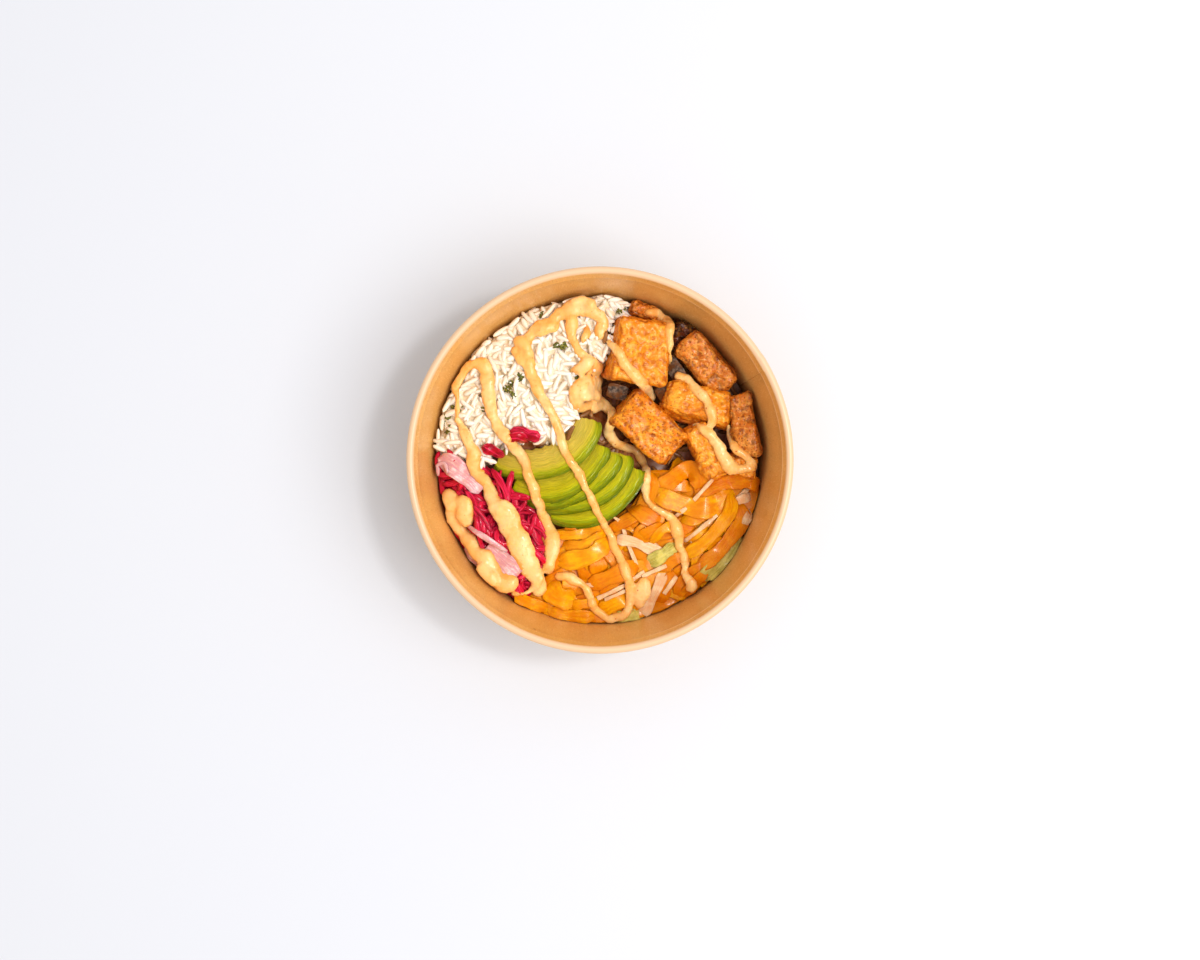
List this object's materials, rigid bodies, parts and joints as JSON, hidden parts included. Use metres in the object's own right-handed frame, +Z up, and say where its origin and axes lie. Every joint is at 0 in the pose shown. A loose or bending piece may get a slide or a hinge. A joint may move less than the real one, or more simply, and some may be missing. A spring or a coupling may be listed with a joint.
{
  "type": "poke bowl",
  "caption": "Round kraft paper bowl filled with rice, seared salmon pieces, fanned avocado slices, pickled red cabbage, carrot and pepper slaw and squeezed sauce.",
  "frame": {"origin": "centre of the foot ring's lower edge, on the surface the bowl stands on", "axes": "+Z up through the bowl's mouth; seen from above, the rice lies towards +Y and -X, the salmon towards +X and +Y"},
  "size_m": [0.15, 0.15, 0.06],
  "materials": {
    "kraft_paper": "brown paperboard, lightly coated inside",
    "rice": "moist white grains",
    "salmon": "seared golden crust",
    "avocado": "smooth buttery flesh with a green edge",
    "red_cabbage": "wet pickled leaf",
    "slaw": "wet raw vegetable strips"
  },
  "bodies": {
    "root": {"bowl": "kraft_paper", "rice": "rice", "salmon_1": "salmon", "salmon_2": "salmon", "salmon_3": "salmon", "salmon_4": "salmon", "salmon_5": "salmon", "salmon_6": "salmon", "salmon_7": "salmon", "salmon_8": "salmon", "salmon_9": "salmon", "avocado_1": "avocado", "avocado_2": "avocado", "avocado_3": "avocado", "avocado_4": "avocado", "avocado_5": "avocado", "red_cabbage": "red_cabbage", "slaw": "slaw"}
  },
  "joints": []
}
